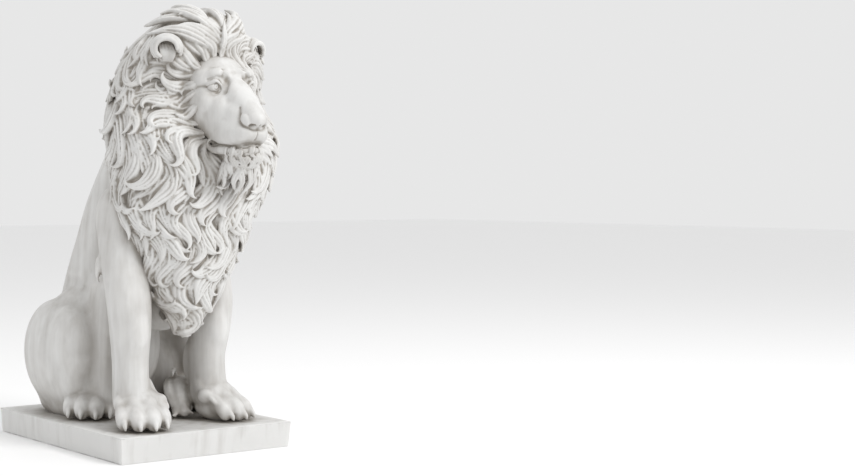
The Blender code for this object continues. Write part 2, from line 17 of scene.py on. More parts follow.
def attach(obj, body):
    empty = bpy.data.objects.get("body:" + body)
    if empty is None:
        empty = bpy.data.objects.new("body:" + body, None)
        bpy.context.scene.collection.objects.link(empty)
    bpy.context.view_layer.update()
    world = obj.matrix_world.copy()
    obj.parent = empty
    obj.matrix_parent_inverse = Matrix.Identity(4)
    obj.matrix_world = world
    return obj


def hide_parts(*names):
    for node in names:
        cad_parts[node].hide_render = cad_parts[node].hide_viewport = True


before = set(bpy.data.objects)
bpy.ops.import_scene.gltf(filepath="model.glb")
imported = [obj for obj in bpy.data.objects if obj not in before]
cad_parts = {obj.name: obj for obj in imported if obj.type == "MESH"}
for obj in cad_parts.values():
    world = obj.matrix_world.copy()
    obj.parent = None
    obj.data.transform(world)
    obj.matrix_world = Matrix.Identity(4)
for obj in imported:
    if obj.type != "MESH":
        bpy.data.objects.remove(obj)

# The photograph's viewpoint
CAMERA_PLACE = (-1.3991, -2.1829, 0.4266)
CAMERA_AZIMUTH = 32.80
CAMERA_TILT = 1.97
CAMERA_LENS = 65.26
CAMERA_SHIFT = 0.3304

# How finely each skin is cut, in figure units
MASS_VOXEL = 5.0
BODY_VOXEL = 2.2
SKULL_VOXEL = 3.0
HEAD_VOXEL = 1.15
EAR_VOXEL = 1.5
MANE_VOXEL = 1.45
ROOT_VOXEL = 4.0
BEARD_VOXEL = 0.8

# The most triangles that each piece keeps
MOST_TRIANGLES = {
    "lion_body": 84000,
    "lion_head": 120000,
    "mane_crown": 165000,
    "mane_sides": 180000,
    "mane_throat": 170000,
    "mane_chest": 160000,
    "mane_root": 12000,
    "beard": 60000,
}

# The mane's pieces, each with its lower and its upper height
MANE_PARTS = [
    ("mane_crown", 550, 800),
    ("mane_sides", 460, 550),
    ("mane_throat", 360, 460),
    ("mane_chest", 100, 360),
]

# The rays that find the hollows: how many, the flattest, how far off the skin they start in figure
# units, and how far they look in metres
RAYS = 18
FLATTEST_RAY = 0.15
RAY_START = 1.2
HOLLOW_REACH = 0.05
SHELTER_REACH = 0.22

# How dark each surface is painted in its bends and in its hollows, as painted shade that is partly soil,
# and the film all over it
SHADE_AND_SOILING = {
    "mane": (1.0, 1.0, 0.2),
    "lion_body": (0.25, 0.9, 0.32),
    "base_slab": (0.25, 0.8, 0.02),
}

# The stone's colours: bare stone, the film over it, also painting broad shade, the soil in its hollows,
# also painting their shade, and the painted highlight on its ridges
STONE_DULL = (0.64, 0.637, 0.625, 1)
STONE_BRIGHT = (0.74, 0.737, 0.725, 1)
FILM_AND_SHADE = (0.35, 0.325, 0.295, 1)
SHADE_AND_SOIL_DARK = (0.25, 0.225, 0.195, 1)
SHADE_AND_SOIL_PALE = (0.38, 0.355, 0.32, 1)
HIGHLIGHT_COLOUR = (0.92, 0.915, 0.90, 1)

# Driving dimensions, in metres
SLAB_WIDTH = 0.320
SLAB_DEPTH = 0.390
SLAB_THICKNESS = 0.0413
SLAB_DRAFT = 0.003
SLAB_ROUND = 0.0016
SLAB_CUTS = 36
SLAB_WEAR = 0.0005
SLAB_FOOT = 0.004
FIGURE_HEIGHT = 0.672

# Figure units: everything below is a share of the figure's height
UNITS_HIGH = 672.0
UNIT = FIGURE_HEIGHT / UNITS_HIGH
HEAD_PLACE = Vector((36, -150, 530))
HEAD_YAW = -3.8
HEAD_PITCH = 0.0
HEAD_NARROW = 0.94


def new_object(name, bm):
    mesh = bpy.data.meshes.new(name)
    bm.to_mesh(mesh)
    bm.free()
    made = bpy.data.objects.new(name, mesh)
    bpy.context.scene.collection.objects.link(made)
    return made


def baked(found):
    """Replaces an object's mesh by the one that its modifiers make."""
    bpy.context.view_layer.update()
    graph = bpy.context.evaluated_depsgraph_get()
    mesh = bpy.data.meshes.new_from_object(found.evaluated_get(graph))
    found.modifiers.clear()
    found.data = mesh
    return found


def smooth_by(found, rounds):
    smooth = found.modifiers.new("soft creases", "SMOOTH")
    smooth.factor = 0.5
    smooth.iterations = rounds


def fused(found, voxel, rounds):
    """Overlapping forms made one skin, with its creases filled by a few rounds of smoothing."""
    remesh = found.modifiers.new("one skin", "REMESH")
    remesh.mode = "VOXEL"
    remesh.voxel_size = voxel
    smooth_by(found, rounds)
    return baked(found)


def relaxed(found, rounds):
    smooth_by(found, rounds)
    return baked(found)


def surface_of(*meshes):
    """The meshes as one surface that places and rays can be found on."""
    whole = bmesh.new()
    for mesh in meshes:
        whole.from_mesh(mesh)
    surface = BVHTree.FromBMesh(whole)
    whole.free()
    return surface


def directions(count):
    """Unit vectors spread evenly all round."""
    golden = math.pi * (3 - math.sqrt(5))
    for i in range(count):
        z = 1 - 2 * (i + 0.5) / count
        r = math.sqrt(1 - z * z)
        yield Vector((r * math.cos(golden * i), r * math.sin(golden * i), z))


def unit_ball(rings):
    """The ball that ellipsoids are copied from."""
    bm = bmesh.new()
    bmesh.ops.create_icosphere(bm, subdivisions=rings, radius=1)
    mesh = bpy.data.meshes.new("ball")
    bm.to_mesh(mesh)
    bm.free()
    return mesh


FINE_BALL = unit_ball(4)
COARSE_BALL = unit_ball(2)


def ellipsoid(bm, centre, radii, turn=(0, 0, 0), within=Matrix.Identity(4), fine=True):
    angles = Euler([math.radians(a) for a in turn])
    ball = (FINE_BALL if fine else COARSE_BALL).copy()
    ball.transform(within @ Matrix.LocRotScale(Vector(centre), angles, Vector(radii)))
    bm.from_mesh(ball)
    bpy.data.meshes.remove(ball)


def between(stations, step):
    """Points on a smooth curve through the stations, tuples of any length, step of a span apart."""
    count = len(stations)
    for i in range(count - 1):
        p0 = stations[max(i - 1, 0)]
        p1 = stations[i]
        p2 = stations[i + 1]
        p3 = stations[min(i + 2, count - 1)]
        t = 0.0
        while t < 1.0 or (i == count - 2 and t < 1.0 + step / 2):
            yield tuple(
                b + 0.5 * t * (c - a + t * (2 * a - 5 * b + 4 * c - d + t * (3 * b - a - 3 * c + d)))
                for a, b, c, d in zip(p0, p1, p2, p3)
            )
            t += step


def limb(bm, stations, step=0.2, within=Matrix.Identity(4)):
    """A limb as a close row of ellipsoids: each station is x, y, z and one radius or three."""
    for point in between(stations, step):
        radii = point[3:] if len(point) == 6 else [point[3]] * 3
        ellipsoid(bm, point[:3], radii, within=within, fine=False)


def head_frame():
    """Where the head is: -Y is ahead of it and Z is up."""
    yaw = Matrix.Rotation(math.radians(HEAD_YAW), 4, "Z")
    pitch = Matrix.Rotation(math.radians(HEAD_PITCH), 4, "X")
    return Matrix.Translation(HEAD_PLACE) @ (yaw @ pitch) @ Matrix.Diagonal((HEAD_NARROW, 1, 1, 1))


# A paw's toes: how far across, how far ahead and how thick
TOES = [(-29, 4, 12), (-10, -8, 13.6), (11, -9, 13.6), (30, 3, 12)]


def add_trunk(bm):
    limb(bm, [
        (0, 118, 50, 92, 70, 60),
        (0, 96, 130, 100, 88, 80),
        (0, 80, 205, 97, 86, 80),
        (2, 48, 280, 94, 82, 80),
        (6, 26, 340, 92, 80, 70),
        (12, -14, 400, 92, 85, 70),
    ])
    ellipsoid(bm, (-4, -58, 290), (88, 76, 105))
    ellipsoid(bm, (-4, -62, 225), (66, 62, 80))
    ellipsoid(bm, (-30, 22, 120), (68, 72, 100))
    limb(bm, [(-68, 14, 40, 36, 56, 44), (-66, 16, 110, 40, 58, 60), (-54, 6, 190, 42, 60, 70)])
    ellipsoid(bm, (40, 60, 70), (60, 60, 74))


def add_foreleg(bm, side, shift, lean):
    """side is -1 on the lion's right and 1 on its left; lean brings the shoulder outwards."""
    x, y = shift
    limb(bm, [
        (x + side * (lean - 8), y + 46, 330, 36, 50, 60),
        (x + side * (lean - 2), y + 26, 272, 37, 44, 50),
        (x + side * lean, y + 6, 212, 38, 41, 40),
        (x + side * lean * 0.7, y, 160, 35, 38, 40),
        (x, y, 110, 30, 35, 40),
        (x, y - 2, 70, 30, 35, 34),
        (x, y - 6, 40, 32, 37, 30),
    ])
    ellipsoid(bm, (x + side * 2, y - 18, 158), (22, 24, 46))
    ellipsoid(bm, (x - side * 14, y + 28, 92), (14, 14, 40))


def add_paw(bm, frame, ankle, inner):
    """A broad paw that looks along -Y of its frame, below an ankle that high.

    inner is the dewclaw's side, or 0 where there is none.
    """
    ellipsoid(bm, (0, 20, 18), (32, 38, 21), within=frame)
    ellipsoid(bm, (0, 26, 35), (35, 30, 25), within=frame)
    ellipsoid(bm, (0, 6, 22), (36, 26, 20), within=frame)
    for across, ahead, size in TOES:
        limb(bm, [
            (across * 0.42, 42, ankle, 14),
            (across * 0.70, ahead + 33, ankle * 0.76, 12),
            (across * 0.90, ahead + 17, 38, size * 0.98),
            (across * 0.97, ahead + 5, 30, size * 0.82),
            (across, ahead - 7, 20, size * 0.98),
            (across * 1.03, ahead - 12, 12, size * 0.8),
        ], within=frame)
        limb(bm, [
            (across * 1.04, ahead - 19, 16, 4.8),
            (across * 1.05, ahead - 25, 10, 3.8),
            (across * 1.05, ahead - 26, 5, 2.6),
        ], within=frame)
    if inner:
        ellipsoid(bm, (inner * 34, 24, 38), (9, 13, 11), within=frame)
        limb(bm, [
            (inner * 38, 13, 36, 4.5), (inner * 39, 7, 32, 3.5), (inner * 38, 4, 27, 2),
        ], within=frame)


def paw_frame(heel, side, splay, size):
    turn = Matrix.Rotation(math.radians(side * splay), 4, "Z")
    return Matrix.Translation(Vector((*heel, 0))) @ turn @ Matrix.Scale(size, 4)


# Each paw's frame, its ankle's height and its dewclaw's side
PAWS = [
    (paw_frame((-94, -150), -1, 18, 1.1), 60, 1),
    (paw_frame((90, -130), 1, 26, 1.08), 60, -1),
    (paw_frame((-98, 2), -1, 38, 1.12), 46, 0),
    (paw_frame((102, -4), 1, 16, 1.08), 46, 0),
]


def add_hind_leg(bm, side):
    ellipsoid(bm, (side * 112, 86, 104), (46, 84, 90))
    ellipsoid(bm, (side * 110, 50, 118), (44, 64, 72))
    ellipsoid(bm, (side * 82, 66, 158), (46, 60, 56))
    limb(bm, [
        (side * 112, 22, 100, 34, 38, 46),
        (side * 110, 50, 58, 34, 46, 40),
        (side * 104, 104, 32, 32, 38, 30),
    ])
    limb(bm, [(side * 98, 126, 20, 25, 28, 24), (side * 102, 80, 22, 30), (side * 98, 40, 24, 32)])


def add_tail(bm):
    """Round the left haunch on the slab, in behind the left foreleg, and on to its tuft."""
    limb(bm, [
        (22, 176, 44, 16), (66, 180, 18, 13), (112, 164, 13, 12), (140, 124, 12, 12), (146, 72, 12, 12),
        (146, 20, 12, 12), (136, -26, 14, 12), (108, -44, 30, 12), (78, -30, 48, 14),
    ])
    limb(bm, [
        (76, -26, 48, 14, 14, 14),
        (56, -36, 42, 19, 20, 24),
        (42, -56, 28, 19, 20, 26),
        (34, -78, 12, 11, 13, 10),
    ])


# The ears' places, on the hair beside the crown, and each one's turn from -Y and lean
EARS = [(Vector((-54, -158, 597)), -34, 6), (Vector((104, -160, 598)), 20, 10)]


def add_ear(bm, place, turn, lean):
    """A round cup with a rim of three strands, open below, and with hair inside."""
    frame = Matrix.Translation(place) @ Matrix.Rotation(math.radians(turn), 4, "Z")
    frame = frame @ Matrix.Rotation(math.radians(lean), 4, "Y")
    for strand in range(3):
        rim = []
        for i in range(9):
            angle = math.radians(4 - 10 * strand + 238 * i / 8)
            reach = 15 + 2.8 * strand
            back = -17 + 5.5 * strand - 3 * math.sin(angle)
            thickness = 4.4 - 0.14 * abs(i - 3) ** 1.5
            rim.append((reach * 1.12 * math.cos(angle), back, reach * math.sin(angle), thickness))
        limb(bm, rim, step=0.25, within=frame)
    ellipsoid(bm, (0, 4, -2), (22, 12, 20), within=frame)
    for across in (-12, -6, 0, 6, 12):
        limb(bm, [
            (across * 0.4 + 4, -4, -17, 3.4), (across * 0.8 + 3, -10, -8, 3), (across * 0.9, -10, 1, 2.4),
            (across * 0.8 - 3, -9, 8, 1.2),
        ], within=frame)


def add_head(bm):
    """The head's masses; the eyes, lids and lips come after these are one skin."""
    frame = head_frame()
    ellipsoid(bm, (0, 8, 4), (60, 68, 57), within=frame)
    ellipsoid(bm, (0, -20, 26), (50, 40, 36), within=frame)
    ellipsoid(bm, (0, -48, 22), (40, 20, 22), within=frame)
    limb(bm, [
        (0, -38, 12, 34, 24, 28),
        (0, -66, 3, 30, 23, 25),
        (0, -96, -17, 26, 22, 21),
        (0, -124, -39, 21, 22, 17),
    ], within=frame)
    limb(bm, [
        (0, -36, -40, 56, 34, 44),
        (0, -62, -48, 50, 34, 40),
        (0, -90, -56, 40, 34, 30),
        (0, -112, -63, 31, 29, 20),
    ], within=frame)
    ellipsoid(bm, (0, -70, -88), (32, 52, 21), within=frame)
    ellipsoid(bm, (0, -97, -100), (30, 30, 20), within=frame)
    for side in (-1, 1):
        brow = (0, side * 12, side * 24)
        ellipsoid(bm, (side * 28, -61, 27), (21, 14, 11), turn=brow, within=frame)
        ellipsoid(bm, (side * 36, -24, -24), (28, 44, 46), within=frame)
        cheek = (0, side * 20, side * 30)
        ellipsoid(bm, (side * 36, -46, -18), (22, 28, 24), turn=cheek, within=frame)
        ellipsoid(bm, (side * 40, -34, 14), (20, 28, 26), within=frame)
        ellipsoid(bm, (side * 17, -84, -38), (20, 34, 24), within=frame)
        ellipsoid(bm, (side * 28, -66, -34), (21, 30, 30), within=frame)
        limb(bm, [
            (side * 31, -62, -66, 13, 16, 17),
            (side * 28, -88, -68, 14, 18, 19),
            (side * 20, -112, -66, 14, 18, 18),
            (side * 10, -126, -64, 14, 13, 15),
        ], within=frame)


def add_face(bm):
    frame = head_frame()
    ellipsoid(bm, (0, -133, -44), (18, 18, 13), turn=(16, 0, 0), within=frame)
    limb(bm, [
        (-41, -59, -76, 3), (-40, -52, -83, 4.2), (-35, -62, -90, 6), (-31, -84, -91, 7.5),
        (-18, -112, -94, 8), (0, -121, -91, 8), (18, -112, -94, 8),
        (31, -84, -91, 7.5), (35, -62, -90, 6), (40, -52, -83, 4.2), (41, -59, -76, 3),
    ], step=0.2, within=frame)
    for side in (-1, 1):
        ellipsoid(bm, (side * 12.5, -120, -46), (11.5, 20, 14), turn=(16, 0, side * 10), within=frame)
        ellipsoid(bm, (side * 34.5, -58.5, 7), (12, 12, 11.5), within=frame)
        limb(bm, [
            (side * 23, -71, -2, 1.8), (side * 27, -72, 9, 2.2), (side * 35, -70.5, 16, 2.8),
            (side * 43, -63.5, 13, 2.6), (side * 49, -55, 7, 2),
        ], step=0.1, within=frame)
        limb(bm, [
            (side * 23, -71, -2, 1.8), (side * 30, -70.5, -4.5, 2), (side * 37, -67.5, -5, 2.2),
            (side * 43, -61.5, -1, 2), (side * 49, -55, 7, 2),
        ], step=0.1, within=frame)


def ring(middle, radius):
    """Eight places round a middle and the first one again."""
    x, y, z = middle
    angles = [a * math.pi / 4 for a in range(9)]
    return [(x + radius * math.cos(angle), y, z + radius * math.sin(angle)) for angle in angles]


# Grooves of the face in the head's frame: half-width, depth and stations, made on both sides and laid
# on the nearest skin; the soft ones come first
SOFT_GROOVES = [
    (6.2, 5.6, [(19, -76, 20), (19, -78, 9), (20, -79, -2)]),
    (4.0, 3.6, [(20, -66, 36), (22, -69, 29), (24, -72, 22)]),
    (3.4, 10.0, [(38, -63, -81), (37, -71, -83)]),
    (3.0, 3.0, [(48, -57, 8), (53, -51, 8), (60, -42, 6)]),
    (2.4, 1.8, [(29, -74, 20), (36, -71, 23), (46, -61, 19)]),
    (2.6, 2.8, [
        (20, -117, -27), (21, -119, -36), (21, -120, -46), (19, -125, -54), (14, -132, -59),
        (7, -137, -62), (0, -139, -61),
    ]),
]
FACE_GROOVES = [
    (1.7, 3.0, [
        (39, -60, -80), (37, -72, -82), (34, -90, -84), (28, -106, -86.5), (17, -121, -87),
        (8, -127, -85), (0, -129, -83),
    ]),
    (1.6, 1.8, [(0, -148, -58), (0, -142, -68), (0, -132, -82)]),
    (2.4, 5.0, [(13, -137, -56), (8, -140, -54)]),
    (1.0, 1.0, [(26, -71, 2), (29, -72, 8), (35, -71, 12.2), (41, -66, 10), (46, -58, 7)]),
    (1.0, 0.8, [(26, -71, 0), (31, -71, -1), (37, -69, -1), (42, -63, 2), (46, -58, 7)]),
    (0.9, 1.0, ring((34.5, -70.5, 7), 4.8)),
    (1.3, 1.1, [(34.2, -70.5, 7.2), (35, -70.5, 6.8)]),
]


def carve(found, grooves):
    """Pushes a skin in along curves: each groove has a soft section, deepest on its curve."""
    places = numpy.empty(len(found.data.vertices) * 3)
    found.data.vertices.foreach_get("co", places)
    places = places.reshape(-1, 3)
    skin = surface_of(found.data)
    for width, depth, stations in grooves:
        spots = [skin.find_nearest(Vector(p)) for p in between(stations, 0.12)]
        curve = numpy.array([spot[0] for spot in spots])
        outward = numpy.array([spot[1] for spot in spots])
        for _ in range(6):
            outward[1:-1] = (outward[:-2] + outward[1:-1] * 2 + outward[2:]) / 4
        outward /= numpy.linalg.norm(outward, axis=1)[:, None]
        reach = width * 2.5
        inside = (places > curve.min(0) - reach).all(1) & (places < curve.max(0) + reach).all(1)
        near = numpy.nonzero(inside)[0]
        gaps = numpy.linalg.norm(places[near][:, None, :] - curve[None], axis=2)
        pushes = depth * numpy.exp(-(gaps.min(1) / width) ** 2)
        places[near] -= outward[gaps.argmin(1)] * pushes[:, None]
    found.data.vertices.foreach_set("co", places.ravel())
    found.data.update()


def face_grooves(grooves):
    """The grooves in figure units, each on both sides unless it runs down the middle."""
    frame = head_frame()
    for width, depth, stations in grooves:
        middle = all(p[0] == 0 for p in stations)
        for side in ((1,) if middle else (-1, 1)):
            yield width, depth, [tuple(frame @ Vector((side * x, y, z))) for x, y, z in stations]


def carved_head(masses):
    """The head's masses with its eyes, lids and lips on, as one skin with every groove cut."""
    bm = bmesh.new()
    add_face(bm)
    bm.from_mesh(masses.data)
    bpy.data.objects.remove(masses)
    head = fused(new_object("lion_head", bm), HEAD_VOXEL, 1)
    carve(head, face_grooves(SOFT_GROOVES))
    relaxed(head, 4)
    carve(head, face_grooves(FACE_GROOVES))
    return relaxed(head, 1)


# The mane's mass: x, y, z and three radii, from the crown down
MANE = [
    (33, -122, 625, 76, 74, 42),
    (37, -98, 578, 117, 88, 48),
    (32, -80, 530, 130, 90, 48),
    (31, -88, 490, 140, 98, 48),
    (30, -106, 452, 150, 106, 48),
    (28, -110, 412, 141, 103, 48),
    (22, -110, 374, 126, 98, 48),
    (13, -106, 338, 118, 96, 46),
    (10, -110, 304, 102, 86, 44),
    (6, -118, 268, 82, 72, 42),
    (2, -124, 234, 60, 56, 38),
    (-2, -130, 205, 38, 40, 34),
    (-6, -136, 178, 18, 22, 28),
]
FACE_CENTRE = Vector((0, -20, -5))
HAIRLINE = (60, 66)
BIB_TIP = Vector((-8, -150, 130))
WAVE_LENGTH = 108.0
MANE_SUNK = 7.0

# A lock's section: how far its crest leans to one edge, its mean height, the depth of the grooves
# between its strands, its thickness for its width, and where along it it is widest
CREST = 0.4
STRAND_HEIGHT = 0.82
STRAND_RELIEF = 0.18
LOCK_DEPTH = 0.6
WIDEST_AT = 0.45

# The width of one strand, on the mane and on the chin
STRAND = 7.6
BEARD_STRAND = 4.4

# Where the face stays bare, in the head's frame: ahead of y, between two heights and within x
BARE_PLACES = [(-34, -64, 50, 56), (-34, -84, -57, 43), (-62, -104, -57, 40)]
EAR_ROOM = 24

# Layers of locks, each over the last: how far apart, then the least and the most of length, width,
# lift and curl
LAYERS = [
    (21, (60, 90), (17, 23), (-7, -4), (30, 100)),
    (27, (110, 160), (26, 35), (-5, 0), (10, 70)),
    (26, (68, 108), (19, 27), (3, 10), (60, 160)),
]
FRINGE = (12, (50, 78), (12, 17), (-1, 5), (40, 150))

# The chin's curls: how far apart, and the least and the most of length and width
CURL_GAP = 6.6
CURL_LENGTH = (19, 27)
CURL_WIDTH = (7.5, 10.5)

# The chin's hanging locks: how many, and for each station how far out and back, how low and how bent
TUFT_LOCKS = 13
TUFT_CURVE = [(24, -84, 0, 0), (28, -80, 17, 0.5), (27, -73, 36, -0.5), (19, -64, 54, 0.9)]

# The tufts at the tail's end and at the elbows: the way each lies open to, then its locks'
# widths and curves
TUFTS = [
    ((-0.7, -0.6, 0.4), [
        (20, [(72, -24, 52), (50, -34, 60), (36, -52, 46), (30, -78, 22), (44, -96, 7)]),
        (18, [(62, -22, 48), (40, -26, 58), (24, -44, 44), (22, -68, 20), (26, -86, 6)]),
        (15, [(60, -30, 40), (40, -40, 34), (28, -58, 22), (16, -78, 8), (6, -82, 8)]),
        (12, [(56, -26, 54), (44, -34, 72), (34, -46, 76), (26, -56, 66)]),
    ]),
    ((-0.9, -0.2, 0.1), [
        (13, [(-112, -62, 282), (-120, -60, 264), (-118, -54, 246), (-110, -50, 236)]),
        (11, [(-116, -68, 270), (-123, -64, 254), (-121, -58, 238), (-112, -52, 226)]),
    ]),
    ((0.9, -0.2, 0.1), [
        (13, [(112, -40, 282), (120, -38, 264), (118, -32, 246), (110, -28, 236)]),
        (11, [(116, -46, 270), (123, -42, 254), (121, -36, 238), (112, -30, 226)]),
    ]),
]


def mane_mass():
    bm = bmesh.new()
    limb(bm, MANE, step=0.34)
    return fused(new_object("mane mass", bm), 8.0, 12)


def sunk(found, depth):
    """The hair's mass drawn in a little, so that the gaps between the locks are deep."""
    places = [v.co - v.normal * depth for v in found.data.vertices]
    for v, place in zip(found.data.vertices, places):
        v.co = place
    return found


def flow(point, face):
    """The way the hair runs: away from the face, back on the crown, then down to the mane's tip."""
    local = face.inverted() @ point
    away = Vector((local.x, 45, local.z + 12)).normalized()
    near = math.exp(-max(face_ring(local) - 1, 0) / 1.1)
    way = face.to_3x3() @ away * near + Vector((0, 0, -1)) * (1 - near)
    swept = crown_share(local) * min(max((110 - local.y) / 50, 0), 1)
    way = way * (1 - swept) + Vector((local.x * 0.006, 1, 0.3)) * swept
    low = min(max((400 - point.z) / 200.0, 0), 1)
    way += (BIB_TIP - point).normalized() * low * 0.9
    return way.normalized()


def face_ring(local):
    """How far out from the face's middle a point lies: 1 on the hairline."""
    return math.hypot(local.x / HAIRLINE[0], local.z / HAIRLINE[1])


def spread(surface, centres, count):
    """Points all over a surface, seen from the centres."""
    found = []
    for centre in centres:
        for ray in directions(count):
            hit, _, _, _ = surface.ray_cast(centre + ray * 400, -ray)
            if hit:
                found.append(hit)
    return found


def chin_curls():
    """Small curls all over the chin, right up to the lower lip, as stations and width."""
    rng = random.Random(11)
    whole = bmesh.new()
    add_head(whole)
    add_face(whole)
    surface = BVHTree.FromBMesh(whole)
    whole.free()
    middle = head_frame() @ Vector((0, -84, -100))
    found = []
    for low in (-24, -19, -13, -6, 2, 10, 18, 27, 36, 46, 58):
        reach = 72 if low < 0 else 112
        for i in range(40):
            angle = math.radians(-reach + 2 * reach * i / 39)
            tip = math.radians(low)
            level = math.cos(tip)
            ray = Vector((math.sin(angle) * level, -math.cos(angle) * level, -math.sin(tip)))
            hit, _, _, _ = surface.ray_cast(middle + ray * 90, -ray)
            if hit:
                found.append(hit)
    curls = []
    for spot in thinned(found, CURL_GAP, rng, lambda point: True):
        curls.append(curl_path(surface, spot, rng))
    return curls


def curl_path(surface, spot, rng):
    """A short lock that runs down the chin and hooks over to one side, blunt at its root."""
    hook = math.radians(rng.uniform(60, 170)) * rng.choice((-1, 1))
    sway = rng.uniform(-0.5, 0.5)
    step = rng.uniform(*CURL_LENGTH) / 12
    _, normal, _, _ = surface.find_nearest(spot)
    stations = []
    for i in range(13):
        t = i / 12
        near, found, _, _ = surface.find_nearest(spot)
        normal = (normal + found).normalized()
        down = Vector((0, 0.2, -1))
        way = (down - normal * down.dot(normal)).normalized()
        way = Matrix.Rotation(sway + hook * max(t - 0.4, 0) / 0.6, 3, normal) @ way
        rise = 2.6 * t ** 0.6 - 1
        stations.append((near + normal * rise, way, normal, 0.28 + 0.67 * t if i else 0))
        spot = near + way * step
    return stations, rng.uniform(*CURL_WIDTH)


def thinned(points, gap, rng, wanted):
    """Those of the points that are wanted and lie no closer to each other than the gap."""
    points = list(points)
    rng.shuffle(points)
    kept = []
    for point in points:
        if wanted(point) and all((point - other).length > gap for other in kept):
            kept.append(point)
    return kept


def crown_share(local):
    """1 on the top of the head, where the hair is swept straight back, and 0 on the sides."""
    high = min(max((local.z - 30) / 40, 0), 1)
    return high * min(max((95 - abs(local.x)) / 40, 0), 1)


def lock_path(surface, start, face, length, lift, curl, rng):
    """A lock's run from its root: its place, way, normal and share of its length at each station."""
    steps = 24
    swing = math.radians(rng.uniform(38, 54))
    stray = rng.uniform(-0.6, 0.6)
    curl = math.radians(curl) * rng.choice((-1, 1))
    swept = crown_share(face.inverted() @ start)
    swing *= 1 - 0.7 * swept
    curl *= 1 - 0.5 * swept
    point = start.copy()
    _, normal, _, _ = surface.find_nearest(point)
    stations = []
    for i in range(steps + 1):
        t = i / steps
        local = face.inverted() @ point
        round_face = math.atan2(local.x, local.z)
        way = flow(point, face)
        way = (way - normal * way.dot(normal)).normalized()
        wave = 2 * math.pi * local.length / WAVE_LENGTH + 1.6 * math.sin(1.5 * round_face + 0.6) + stray
        mirror = 1 if local.x < 0 else -1
        turn = mirror * swing * math.sin(wave) + curl * max((t - 0.55) / 0.45, 0) ** 2
        way = Matrix.Rotation(turn, 3, normal) @ way
        rise = -8 + (lift + 13) * t ** 0.65 + 2 * t ** 4
        stations.append((point + normal * rise, way, normal.copy(), t))
        point = point + way * (length / steps)
        near, found, _, _ = surface.find_nearest(point)
        point = near
        normal = (normal + found).normalized()
    return stations


def lock_taper(t):
    """A lock's share of its full width at t of its length."""
    if t < WIDEST_AT:
        return 0.22 + 0.78 * math.sin(t / WIDEST_AT * math.pi / 2)
    return max(1 - ((t - WIDEST_AT) / 0.55) ** 1.8, 0.05)


def lock(stations, width, thickness, strands, sides):
    """A tapered lock of hair, extruded along its stations, with its crest towards one edge."""
    bm = bmesh.new()
    bmesh.ops.create_circle(bm, cap_ends=True, segments=sides, radius=1)
    for v in bm.verts:
        v.co.y *= 1 + CREST * v.co.x
        v.co.y *= STRAND_HEIGHT - STRAND_RELIEF * math.cos(math.pi * strands * (v.co.x + 1))
    last = Matrix.Identity(4)
    ring = list(bm.verts)
    face = bm.faces[:]
    for spot, way, normal, t in stations:
        taper = lock_taper(t)
        side = normal.cross(way).normalized()
        up = way.cross(side)
        place = Matrix((
            (*(side * width / 2 * taper), 0),
            (*(up * thickness / 2 * (0.3 + 0.7 * taper)), 0),
            (*way, 0),
            (0, 0, 0, 1),
        )).transposed()
        place.translation = spot
        if t > 0:
            made = bmesh.ops.extrude_face_region(bm, geom=face)
            face = [g for g in made["geom"] if isinstance(g, bmesh.types.BMFace)]
            ring = [g for g in made["geom"] if isinstance(g, bmesh.types.BMVert)]
        bmesh.ops.transform(bm, matrix=place @ last.inverted(), verts=ring)
        last = place
    return bm


def mane_locks(mass):
    """Every lock of the mane as its stations and width, laid over the mass and the head."""
    rng = random.Random(7)
    face = head_frame() @ Matrix.Translation(FACE_CENTRE)
    whole = bmesh.new()
    whole.from_mesh(mass.data)
    add_head(whole)
    under = fused(new_object("under the hair", whole), 6.0, 6)
    surface = surface_of(under.data)
    bpy.data.objects.remove(under)

    def in_mane(point):
        local = face.inverted() @ point
        if local.y < 60 and face_ring(local) < (0.82 if local.z > 40 else 0.9):
            return False
        for ahead, low, high, across in BARE_PLACES:
            if local.y < ahead and low < local.z < high and abs(local.x) < across:
                return False
        if any((point - place).length < EAR_ROOM for place, _, _ in EARS):
            return False
        return point.z > 165 and (point.y < -30 or point.z > 350)

    def in_fringe(point):
        return in_mane(point) and face_ring(face.inverted() @ point) < 1.5

    centres = (Vector((34, -84, 560)), Vector((22, -104, 420)), Vector((5, -112, 290)))
    everywhere = spread(surface, centres, 900)
    rounds = [(everywhere, in_mane, layer) for layer in LAYERS]
    rounds.append((spread(surface, (face.translation,), 5000), in_fringe, FRINGE))
    locks = []
    for points, wanted, (gap, lengths, widths, lifts, curls) in rounds:
        for start in thinned(points, gap, rng, wanted):
            swept = crown_share(face.inverted() @ start)
            length = rng.uniform(*lengths) * (1 + 0.25 * swept)
            lift = rng.uniform(*lifts)
            curl = rng.uniform(*curls)
            path = lock_path(surface, start, face, length, lift, curl, rng)
            locks.append((path, rng.uniform(*widths)))
    return locks


def along(curve, step, facing):
    """A lock's stations on a curve, with normals as near to facing as they can be."""
    spots = [Vector(p) for p in between(curve, step)]
    stations = []
    for i, spot in enumerate(spots):
        way = (spots[min(i + 1, len(spots) - 1)] - spots[max(i - 1, 0)]).normalized()
        normal = (facing - way * way.dot(facing)).normalized()
        stations.append((spot, way, normal, i / (len(spots) - 1)))
    return stations


def tuft_locks():
    """The locks of the small tufts, as stations and width."""
    locks = []
    for facing, tufts in TUFTS:
        for width, curve in tufts:
            locks.append((along(curve, 0.25, Vector(facing)), width))
    return locks


def add_locks(bm, locks, strand, sides):
    """Every lock added whole, with strands about as wide as strand and so many sides round."""
    for stations, width in locks:
        strands = max(round(width / strand), 2)
        small = lock(stations, width, width * LOCK_DEPTH, strands, sides)
        mesh = bpy.data.meshes.new("lock")
        small.to_mesh(mesh)
        small.free()
        bm.from_mesh(mesh)
        bpy.data.meshes.remove(mesh)


